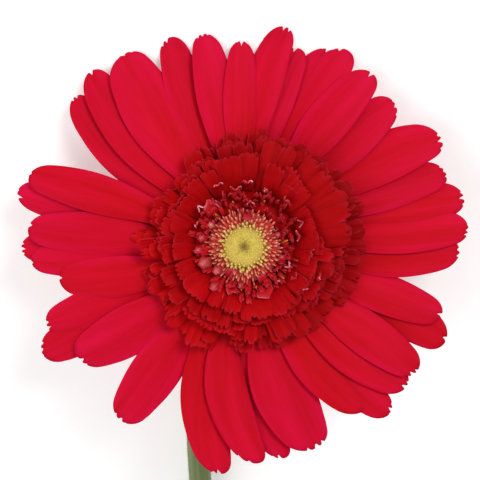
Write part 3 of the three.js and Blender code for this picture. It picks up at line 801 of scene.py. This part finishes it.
def make_involucre(material):
    rng = random.Random(SEED + 4)
    surface = Surface()
    heights = np.linspace(-INVOLUCRE_DEPTH, INVOLUCRE_TOP, 12)
    cup = [(receptacle_radius(height), height) for height in heights]
    surface.turned([(0, -INVOLUCRE_DEPTH), *cup, (0, INVOLUCRE_TOP)], 0.5)
    along = np.linspace(0, 1, 14)
    across = np.linspace(-1, 1, 9)
    for r, row in enumerate(BRACT_ROWS):
        for i in range(row[0]):
            azimuth = spaced(i, row[0], r, 0.12, rng)
            surface.sheet(bract_middle(row, azimuth, rng), along, across, BRACT_THICKNESS, rng.random())
    surface.make("bracts", material, "bract", "involucre")


# ------ stem
def catmull_rom(points, steps):
    """A centripetal curve through the points, with so many steps between neighbours."""
    points = [Vector(p) for p in points]
    points = [2 * points[0] - points[1], *points, 2 * points[-1] - points[-2]]
    out = []
    for a, b, c, d in zip(points, points[1:], points[2:], points[3:]):
        knots = [0.0]
        for p, q in ((a, b), (b, c), (c, d)):
            knots.append(knots[-1] + math.sqrt((q - p).length))
        t0, t1, t2, t3 = knots
        for i in range(steps):
            t = t1 + (t2 - t1) * i / steps
            ab = a.lerp(b, (t - t0) / (t1 - t0))
            bc = b.lerp(c, (t - t1) / (t2 - t1))
            cd = c.lerp(d, (t - t2) / (t3 - t2))
            abc = ab.lerp(bc, (t - t0) / (t2 - t0))
            bcd = bc.lerp(cd, (t - t1) / (t3 - t1))
            out.append(abc.lerp(bcd, (t - t1) / (t2 - t1)))
    return [*out, points[-2]]


def stem_points():
    """The stem's middle line from the head to the cut, in millimetres in the scene's axes."""
    foot = Vector((HEAD_CENTRE.x, HEAD_CENTRE.y, 0.04))
    top = HEAD_CENTRE - OUT * (INVOLUCRE_DEPTH + 0.3)
    straight = HEAD_CENTRE - OUT * (INVOLUCRE_DEPTH + 3.5)
    return catmull_rom([top, straight, *(foot + Vector(p) for p in STEM_ROUTE)], STEM_STEPS)


def stem_radius(distance, total):
    """The stem's radius at a distance from the head: a narrowing neck, then a slow swelling to the cut."""
    neck, cut = STEM_RADII["neck"], STEM_RADII["cut"]
    if distance < NECK_LENGTH:
        return neck + (STEM_RADII["top"] - neck) * (1 - distance / NECK_LENGTH) ** 2
    share = (distance - NECK_LENGTH) / (total - NECK_LENGTH)
    return neck + (cut - neck) * max(0, 2 * share - 1)


def make_stem(material, down_material):
    """The stem's skin with its cut face, and its down. Where it lies on the surface it has none."""
    rng = random.Random(SEED + 5)
    line = stem_points()
    lengths = np.concatenate([[0], np.cumsum([(b - a).length for a, b in zip(line, line[1:])])])
    total = lengths[-1]
    turn = np.linspace(0, 2 * math.pi, STEM_SIDES, endpoint=False)
    ribs = 0.06 * np.cos(9 * turn) + 0.03 * np.cos(5 * turn + 1)
    side = OUT.orthogonal()
    loops = []
    hairs = Surface()
    for i, (centre, distance) in enumerate(zip(line, lengths)):
        ahead = (line[min(i + 1, len(line) - 1)] - line[max(i - 1, 0)]).normalized()
        side = (side - ahead * side.dot(ahead)).normalized()
        other = ahead.cross(side)
        radius = stem_radius(distance, total)
        grow = radius * STEM_INSET + ribs * min(1, distance / NECK_LENGTH)
        round_it = np.outer(grow * np.cos(turn), side) + np.outer(grow * np.sin(turn), other)
        near_cut = max(0, 1 - (total - distance) / CUT_RUN)
        back = near_cut * (CUT_STEP + round_it[:, 2] * math.tan(CUT_ANGLE))
        loops.append(np.array(centre) + round_it - np.outer(back, ahead))
        for _ in range(STEM_HAIRS // len(line)):
            around = rng.uniform(0, 2 * math.pi)
            out = side * math.cos(around) + other * math.sin(around)
            foot = centre + out * (radius * HAIR_ROOTS) + ahead * rng.uniform(0, 5)
            if foot.z > HAIRS_LOWEST and distance < total - HAIRS_END:
                lean = out + ahead * rng.uniform(-0.5, 0.3) + other * rng.uniform(-0.3, 0.3)
                length, shade = rng.uniform(*HAIR_LENGTH), rng.random()
                hairs.bud(foot, lean, length, HAIR_WIDTH, shade, rings=3, sides=3, world=in_metres)
    surface = Surface()
    rim = loops[-1]
    heart = rim.mean(axis=0)
    for share, depth in CUT_FACE:
        loops.append(heart + (rim - heart) * share + np.array(ahead) * depth)
    along = np.concatenate([lengths / total, 1.1 + 0.1 * np.arange(len(CUT_FACE))])
    surface.rings([in_metres(loop) for loop in loops], along, 0.5)
    surface.make("stem_skin", material, "stem", "stem")
    hairs.make("stem_down", down_material, "stem")


# ------ materials
def add(tree, kind, inputs=None, **settings):
    """A node with its settings and inputs, each a value or another node's output."""
    made = tree.nodes.new(kind)
    for key, value in settings.items():
        setattr(made, key, value)
    for key, value in (inputs or {}).items():
        if isinstance(value, bpy.types.NodeSocket):
            tree.links.new(value, made.inputs[key])
        else:
            made.inputs[key].default_value = value
    return made


def new_material(name, **surface):
    """A material and its node tree, with the shader's constant values set."""
    material = bpy.data.materials.new(name)
    material.use_nodes = True
    tree = material.node_tree
    shader = tree.nodes["Principled BSDF"]
    for key, value in surface.items():
        shader.inputs[key.replace("_", " ").title().replace("Ior", "IOR")].default_value = value
    return material, tree


def values_of(tree, *names):
    """What the mesh carries at each point under these names."""
    return [add(tree, "ShaderNodeAttribute", attribute_name=name).outputs["Fac"] for name in names]


def maths(tree, operation, a, b=0.0):
    return add(tree, "ShaderNodeMath", {0: a, 1: b}, operation=operation).outputs[0]


def between(tree, value, low, high):
    """0 below low, 1 above high, and a straight rise between them."""
    return add(tree, "ShaderNodeMapRange", {"Value": value, "From Min": low, "From Max": high}).outputs[0]


def mix(tree, factor, a, b, blend="MIX"):
    made = add(tree, "ShaderNodeMix", {0: factor, 6: a, 7: b}, data_type="RGBA", blend_type=blend)
    return made.outputs[2]


def ramp(tree, factor, stops):
    """A colour ramp through (position, colour) stops."""
    made = add(tree, "ShaderNodeValToRGB", {"Fac": factor})
    elements = made.color_ramp.elements
    while len(elements) < len(stops):
        elements.new(0.5)
    for element, (position, colour) in zip(elements, stops):
        element.position = position
        element.color = (*colour, 1)
    return made.outputs["Color"]


def tinted(tree, colour, value, stops):
    """The colour times a ramp of tones."""
    return mix(tree, 1.0, colour, ramp(tree, value, stops), "MULTIPLY")


def streaks(tree, across, along, shade, fine, long):
    """Noise drawn out along a floret, different on each."""
    x = maths(tree, "MULTIPLY", across, fine)
    y = maths(tree, "MULTIPLY", along, long)
    z = maths(tree, "MULTIPLY", shade, 37.0)
    at = add(tree, "ShaderNodeCombineXYZ", {0: x, 1: y, 2: z}).outputs[0]
    noise = {"Vector": at, "Scale": 1.0, "Detail": 4.0, "Roughness": 0.6}
    return add(tree, "ShaderNodeTexNoise", noise).outputs["Fac"]


def dressed(material, colour, height, strength, distance):
    """The material with its colour and a fine relief, whose distance is in metres."""
    tree = material.node_tree
    shader = tree.nodes["Principled BSDF"]
    tree.links.new(colour, shader.inputs["Base Color"])
    relief = add(tree, "ShaderNodeBump", {"Height": height, "Strength": strength, "Distance": distance})
    tree.links.new(relief.outputs[0], shader.inputs["Normal"])
    return material


def petal_material(name, tones, shades, veins, vein_depth, side_painted_highlight, tip_painted_highlight, dullness=0.75):
    """Velvety petal tissue with lengthwise veins, painted sheen and painted highlights along its rims, and
    a duller underside.
    """
    material, tree = new_material(
        name,
        roughness=0.55,
        specular_ior_level=0.03,
        sheen_weight=0.015,
        sheen_roughness=0.5,
        sheen_tint=(1, 0.05, 0.3, 1),
        subsurface_weight=0.1,
        subsurface_radius=(1.0, 0.1, 0.08),
        subsurface_scale=0.0008,
    )
    along, across, shade, under = values_of(tree, "along", "across", "shade", "under")
    broad = streaks(tree, across, along, shade, 1.6, 1.4)
    fine = streaks(tree, across, along, shade, veins, 1.6)
    colour = ramp(tree, along, tones)
    colour = tinted(tree, colour, broad, [(0.3, (0.86, 0.75, 0.6)), (0.7, (1.06, 1.1, 1.45))])
    colour = tinted(tree, colour, fine, [(0.35, (1 - vein_depth,) * 3), (0.65, (1 + vein_depth / 3,) * 3)])
    colour = tinted(tree, colour, shade, shades)
    # Painted sheen and painted highlights along the rims, in noisy patches.
    highlight_patches = between(tree, broad, 0.4, 0.62)
    for value, (rim, power, strength) in ((maths(tree, "ABSOLUTE", across), side_painted_highlight), (along, tip_painted_highlight)):
        edge = maths(tree, "MULTIPLY", maths(tree, "POWER", value, power), highlight_patches)
        colour = mix(tree, maths(tree, "MULTIPLY", edge, strength), colour, (*rim, 1))
    dull = tinted(tree, (0.50, 0.035, 0.06, 1), fine, [(0.35, (0.8, 0.7, 0.7)), (0.65, (1.1, 1.2, 1.2))])
    colour = mix(tree, maths(tree, "MULTIPLY", under, dullness), colour, dull)
    return dressed(material, colour, fine, 0.25, 0.0001)


def bud_material(name, tones, other_tones=None, specular=0.35):
    """Waxy tissue with tones from foot to tip, and other ones that a bud's shade brings in."""
    material, tree = new_material(
        name,
        roughness=0.4,
        specular_ior_level=specular,
        subsurface_weight=0.15,
        subsurface_radius=(1.0, 0.4, 0.2),
        subsurface_scale=0.0006,
    )
    along, across, shade = values_of(tree, "along", "across", "shade")
    colour = ramp(tree, along, tones)
    if other_tones:
        colour = mix(tree, shade, colour, ramp(tree, along, other_tones))
    patch = streaks(tree, across, along, shade, 3.0, 3.5)
    colour = tinted(tree, colour, patch, [(0.3, (0.75, 0.65, 0.6)), (0.7, (1.12, 1.15, 1.15))])
    return dressed(material, colour, patch, 0.3, 0.0001)


def bed_material():
    """The bed that shows between the buds: dull red with olive patches."""
    material, tree = new_material("disc_bed", roughness=0.7, specular_ior_level=0.15)
    at = add(tree, "ShaderNodeTexCoord").outputs["Object"]
    noise = add(tree, "ShaderNodeTexNoise", {"Vector": at, "Scale": 420.0, "Detail": 3.0}).outputs["Fac"]
    red, pale_red, olive = (0.62, 0.05, 0.045), (0.70, 0.11, 0.09), (0.42, 0.22, 0.08)
    colour = ramp(tree, noise, [(0.4, red), (0.58, pale_red), (0.68, olive)])
    return dressed(material, colour, noise, 0.6, 0.0004)


def centre_material():
    """Yellow-green florets, browner in the dimple: shade is the share of the dome's radius."""
    material, tree = new_material("yellow_floret", roughness=0.6, specular_ior_level=0.15)
    along, across, share = values_of(tree, "along", "across", "shade")
    dimple, inner = (0.31, 0.20, 0.045), (0.49, 0.37, 0.055)
    full, rim = (0.64, 0.505, 0.08), (0.74, 0.57, 0.12)
    stops = [(0.0, dimple), (0.1, dimple), (0.24, inner), (0.42, full), (1.0, rim)]
    colour = ramp(tree, share, stops)
    colour = tinted(tree, colour, along, [(0.3, (0.5, 0.42, 0.35)), (0.85, (1.12, 1.1, 1.2))])
    patch = streaks(tree, across, along, share, 3.0, 3.0)
    colour = tinted(tree, colour, patch, [(0.3, (0.85, 0.85, 0.7)), (0.7, (1.1, 1.1, 1.3))])
    return dressed(material, colour, patch, 0.3, 0.0001)


def green_material(name, pale, dark, fine, long):
    """Green tissue streaked lengthwise. A stem's cut face, where along passes 1, is pale pith."""
    material, tree = new_material(name, roughness=0.55, specular_ior_level=0.25, sheen_weight=0.15)
    along, across, shade = values_of(tree, "along", "across", "shade")
    lines = streaks(tree, across, along, shade, fine, long)
    colour = ramp(tree, lines, [(0.3, dark), (0.7, pale)])
    pith = between(tree, along, 1.02, 1.15)
    colour = mix(tree, pith, colour, (0.62, 0.66, 0.42, 1))
    return dressed(material, colour, lines, 0.35, 0.00015)


def plain_down():
    """Fine pale hairs, greener at the foot."""
    material, tree = new_material("down", roughness=0.5, specular_ior_level=0.3)
    (along,) = values_of(tree, "along")
    colour = ramp(tree, along, [(0.0, (0.30, 0.38, 0.18)), (1.0, (0.80, 0.82, 0.70))])
    tree.links.new(colour, tree.nodes["Principled BSDF"].inputs["Base Color"])
    return material


# ------ stage
def from_head(x, y, z):
    """A point of the head's frame, in millimetres, as a point of the scene."""
    return (HEAD_CENTRE + RIGHT * x + UP * y + OUT * z) * MM


def make_camera():
    """The photograph's view: square on to the face, its middle line through the eye pixel."""
    camera = placed("camera", bpy.data.cameras.new("camera"))
    camera.data.lens = camera.data.sensor_width * CAMERA_DISTANCE / (PHOTO_SIZE * MM_PER_PIXEL)
    camera.data.clip_start = 0.01
    middle_x = (PHOTO_SIZE / 2 - EYE_PIXEL[0]) * MM_PER_PIXEL
    middle_y = (EYE_PIXEL[1] - PHOTO_SIZE / 2) * MM_PER_PIXEL
    camera.location = from_head(middle_x, middle_y, CAMERA_DISTANCE)
    camera.rotation_mode = "QUATERNION"
    camera.rotation_quaternion = Matrix((RIGHT, UP, OUT)).transposed().to_quaternion()
    bpy.context.scene.camera = camera


def make_light(name, at, size, power):
    """A soft square light that looks at the head."""
    light = bpy.data.lights.new(name, "AREA")
    light.size = size
    light.energy = power
    made = placed(name, light)
    made.location = from_head(*at)
    made.rotation_mode = "QUATERNION"
    made.rotation_quaternion = (from_head(0, 0, 0) - made.location).to_track_quat("-Z", "Y")


def make_floor():
    edge, white = FLOOR_EDGE, FLOOR_WHITE
    corners = [(-edge, -edge, 0), (edge, -edge, 0), (edge, edge, 0), (-edge, edge, 0)]
    mesh = bpy.data.meshes.new("floor")
    mesh.from_pydata(corners, [], [(0, 1, 2, 3)])
    material, _ = new_material(
        "floor",
        base_color=white,
        roughness=0.85,
        specular_ior_level=0.1,
        emission_color=white,
        emission_strength=FLOOR_GLOW,
    )
    mesh.materials.append(material)
    floor = placed("floor", mesh)


def make_studio():
    """An even white room, with a key light from the face's upper right and a fill from its lower left."""
    scene = bpy.context.scene
    scene.world = bpy.data.worlds.new("studio")
    scene.world.use_nodes = True
    background = scene.world.node_tree.nodes["Background"]
    background.inputs["Color"].default_value = (1, 1, 1, 1)
    background.inputs["Strength"].default_value = ROOM_LIGHT
    make_light("key", *KEY_LIGHT)
    make_light("fill", *FILL_LIGHT)
    scene.view_settings.view_transform = "Standard"
    scene.view_settings.look = "None"


# ------ the flower
RAY_TONES = [(0.0, (0.48, 0.002, 0.004)), (0.4, (0.60, 0.0035, 0.014)), (1.0, (0.62, 0.0045, 0.026))]
# Lighter towards the roots: painted light where shade falls deep in the ruff.
RUFF_TONES_WITH_PAINTED_LIGHT = [
    (0.0, (0.58, 0.006, 0.006)),
    (0.3, (0.51, 0.0036, 0.0042)),
    (0.8, (0.47, 0.0026, 0.0044)),
    (1.0, (0.47, 0.0028, 0.0055)),
]
LIP_TONES = [(0.0, (0.58, 0.010, 0.010)), (0.5, (0.60, 0.010, 0.014)), (1.0, (0.60, 0.018, 0.028))]
BUD_TONES = [(0.2, (0.78, 0.07, 0.055)), (0.7, (0.88, 0.24, 0.15)), (0.9, (0.95, 0.45, 0.25))]
OUTER_BUD_TONES = [(0.2, (0.70, 0.03, 0.028)), (0.7, (0.82, 0.10, 0.085)), (0.9, (0.92, 0.32, 0.22))]
BERRY_TONES = [(0.1, (0.26, 0.002, 0.005)), (0.7, (0.46, 0.006, 0.018)), (1.0, (0.58, 0.04, 0.065))]
PALE_BERRY_TONES = [(0.1, (0.34, 0.008, 0.014)), (0.7, (0.52, 0.035, 0.045)), (1.0, (0.68, 0.18, 0.18))]
ANTHER_TONES = [(0.2, (0.30, 0.02, 0.01)), (0.7, (0.66, 0.11, 0.01)), (1.0, (0.78, 0.27, 0.02))]
# What a floret's shade, from dark to light, does to its tones: on the rays a random tone of its own, on the
# ruff and lips also painted shade, darker on one side of the head.
RAY_SHADES = [(0.0, (0.95, 0.9, 0.6)), (0.5, (1, 1, 1)), (1.0, (1.03, 1, 1.4))]
RUFF_SHADES = [(0.0, (0.66, 0.7, 0.7)), (0.5, (0.92, 0.95, 0.95)), (1.0, (1.22, 1.15, 1.15))]
LIP_SHADES = [(0.0, (0.6, 0.65, 0.6)), (0.5, (0.95, 0.95, 0.95)), (1.0, (1.15, 1.1, 1.1))]
# Colours of painted sheen and painted highlights on the rims.
MAGENTA_SHEEN = (0.66, 0.005, 0.075)
PINK = (0.62, 0.10, 0.17)
PALE_PINK_HIGHLIGHT = (0.92, 0.55, 0.66)
# Rims of painted sheen and painted highlights: colour, how closely it keeps to the edge and strength, along
# the sides and at the tip.
# The rays' magenta rims are painted sheen where light grazes their edges.
RAY_PAINTED_SHEEN = ((MAGENTA_SHEEN, 3.5, 0.4), (MAGENTA_SHEEN, 30.0, 0.3))
# The ruff's pink rims are painted highlights on tips and edges that catch the light.
RUFF_PAINTED_HIGHLIGHTS = ((PINK, 30.0, 0.03), (PINK, 40.0, 0.1))
# The lips' pale pink rims are painted highlights where their curled edges catch the light.
PALE_LIP_PAINTED_HIGHLIGHTS = ((PALE_PINK_HIGHLIGHT, 26.0, 0.3), (PALE_PINK_HIGHLIGHT, 34.0, 1.0))
SMALL_LIP_PAINTED_HIGHLIGHTS = ((PALE_PINK_HIGHLIGHT, 26.0, 0.03), (PALE_PINK_HIGHLIGHT, 34.0, 0.18))

make_camera()
make_floor()
make_studio()
make_ray_florets(petal_material("ray_petal", RAY_TONES, RAY_SHADES, 14.0, 0.035, *RAY_PAINTED_SHEEN))
make_trans_florets(petal_material("ruff_petal", RUFF_TONES_WITH_PAINTED_LIGHT, RUFF_SHADES, 9.0, 0.08, *RUFF_PAINTED_HIGHLIGHTS))
make_lips(
    petal_material("pale_lip", LIP_TONES, LIP_SHADES, 6.0, 0.15, *PALE_LIP_PAINTED_HIGHLIGHTS, 0.3),
    petal_material("inner_lip", LIP_TONES, LIP_SHADES, 6.0, 0.15, *SMALL_LIP_PAINTED_HIGHLIGHTS, 0.2),
)
make_disc_bed(bed_material())
make_disc_buds(bud_material("bud", BUD_TONES, OUTER_BUD_TONES))
make_berries(bud_material("round_bud", BERRY_TONES, PALE_BERRY_TONES, 0.5))
make_anthers(bud_material("anther", ANTHER_TONES))
make_centre(centre_material())
make_involucre(green_material("bract", (0.18, 0.25, 0.08), (0.08, 0.14, 0.03), 7.0, 2.0))
make_stem(green_material("stem", (0.23, 0.29, 0.12), (0.15, 0.20, 0.07), 14.0, 9.0), plain_down())
